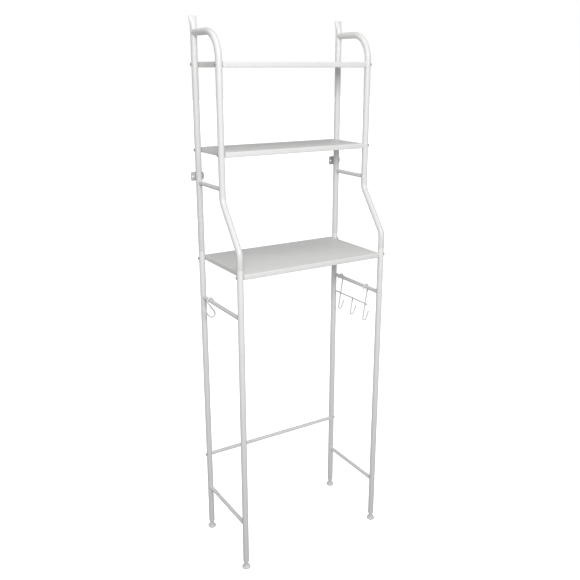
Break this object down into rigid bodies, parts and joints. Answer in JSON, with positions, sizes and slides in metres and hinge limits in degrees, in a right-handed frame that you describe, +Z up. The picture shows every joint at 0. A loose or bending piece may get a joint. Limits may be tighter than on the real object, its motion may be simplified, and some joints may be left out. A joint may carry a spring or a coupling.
{
  "type": "over the toilet storage rack",
  "caption": "White tube-frame rack that stands over a toilet, with sheet-metal shelves above the tank, arched front tubes, wall brackets, levelling feet and hooks hung on the side bars.",
  "frame": {"origin": "on the floor, in the middle of the rectangle of the four leg axes, under the centre of the bounding box to within a few millimetres", "axes": "+X to the right as seen from the front, -Y is the front, +Y is the wall side, +Z up"},
  "size_m": [0.5215, 0.269, 1.607],
  "materials": {
    "white_coat": "smooth semi-gloss white powder coat",
    "coated_wire": "smooth semi-gloss white coated wire",
    "grey_plastic": "matte light grey moulded plastic",
    "zinc_steel": "dull zinc plated",
    "plain_steel": "plain drawn tube"
  },
  "bodies": {
    "frame": {"bottom_shelf": "white_coat", "left_crossbar_screw": "zinc_steel", "left_floor_bar": "white_coat", "left_front_bottom_shelf_screw": "zinc_steel", "left_front_connector": "plain_steel", "left_front_leg": "white_coat", "left_front_leg_insert": "grey_plastic", "left_front_middle_shelf_screw": "zinc_steel", "left_front_top_shelf_screw": "zinc_steel", "left_front_upper_tube": "white_coat", "left_hook_bar": "white_coat", "left_rear_bottom_shelf_screw": "zinc_steel", "left_rear_connector": "plain_steel", "left_rear_leg": "white_coat", "left_rear_leg_insert": "grey_plastic", "left_rear_middle_shelf_screw": "zinc_steel", "left_rear_top_shelf_screw": "zinc_steel", "left_rear_upper_upright": "white_coat", "left_upper_side_bar": "white_coat", "left_wall_bracket": "zinc_steel", "middle_shelf": "white_coat", "rear_crossbar": "white_coat", "right_crossbar_screw": "zinc_steel", "right_floor_bar": "white_coat", "right_front_bottom_shelf_screw": "zinc_steel", "right_front_connector": "plain_steel", "right_front_leg": "white_coat", "right_front_leg_insert": "grey_plastic", "right_front_middle_shelf_screw": "zinc_steel", "right_front_top_shelf_screw": "zinc_steel", "right_front_upper_tube": "white_coat", "right_hook_bar": "white_coat", "right_rear_bottom_shelf_screw": "zinc_steel", "right_rear_connector": "plain_steel", "right_rear_leg": "white_coat", "right_rear_leg_insert": "grey_plastic", "right_rear_middle_shelf_screw": "zinc_steel", "right_rear_top_shelf_screw": "zinc_steel", "right_rear_upper_upright": "white_coat", "right_upper_side_bar": "white_coat", "right_wall_bracket": "zinc_steel", "top_shelf": "white_coat"},
    "hook_rack": {"hook_rack_back_hanger": "coated_wire", "hook_rack_cross_wire": "coated_wire", "hook_rack_front_hanger": "coated_wire", "hook_rack_middle_hook": "coated_wire"},
    "s_hook": {"s_hook": "coated_wire"},
    "left_front_foot_body": {"left_front_foot": "grey_plastic"},
    "left_rear_foot_body": {"left_rear_foot": "grey_plastic"},
    "right_front_foot_body": {"right_front_foot": "grey_plastic"},
    "right_rear_foot_body": {"right_rear_foot": "grey_plastic"}
  },
  "joints": [
    {"name": "hook_rack_swing", "type": "hinge", "parent": "frame", "child": "hook_rack", "pos_m": [0.24, 0.0145, 0.8118], "axis": [0, 1, 0], "range_deg": [-75, 75]},
    {"name": "s_hook_swing", "type": "hinge", "parent": "frame", "child": "s_hook", "pos_m": [-0.24, 0.0745, 0.8113], "axis": [0, 1, 0], "range_deg": [-75, 75]},
    {"name": "left_front_foot_level", "type": "slide", "parent": "frame", "child": "left_front_foot_body", "axis": [0, 0, -1], "range_m": [0, 0.01]},
    {"name": "left_rear_foot_level", "type": "slide", "parent": "frame", "child": "left_rear_foot_body", "axis": [0, 0, -1], "range_m": [0, 0.01]},
    {"name": "right_front_foot_level", "type": "slide", "parent": "frame", "child": "right_front_foot_body", "axis": [0, 0, -1], "range_m": [0, 0.01]},
    {"name": "right_rear_foot_level", "type": "slide", "parent": "frame", "child": "right_rear_foot_body", "axis": [0, 0, -1], "range_m": [0, 0.01]}
  ]
}
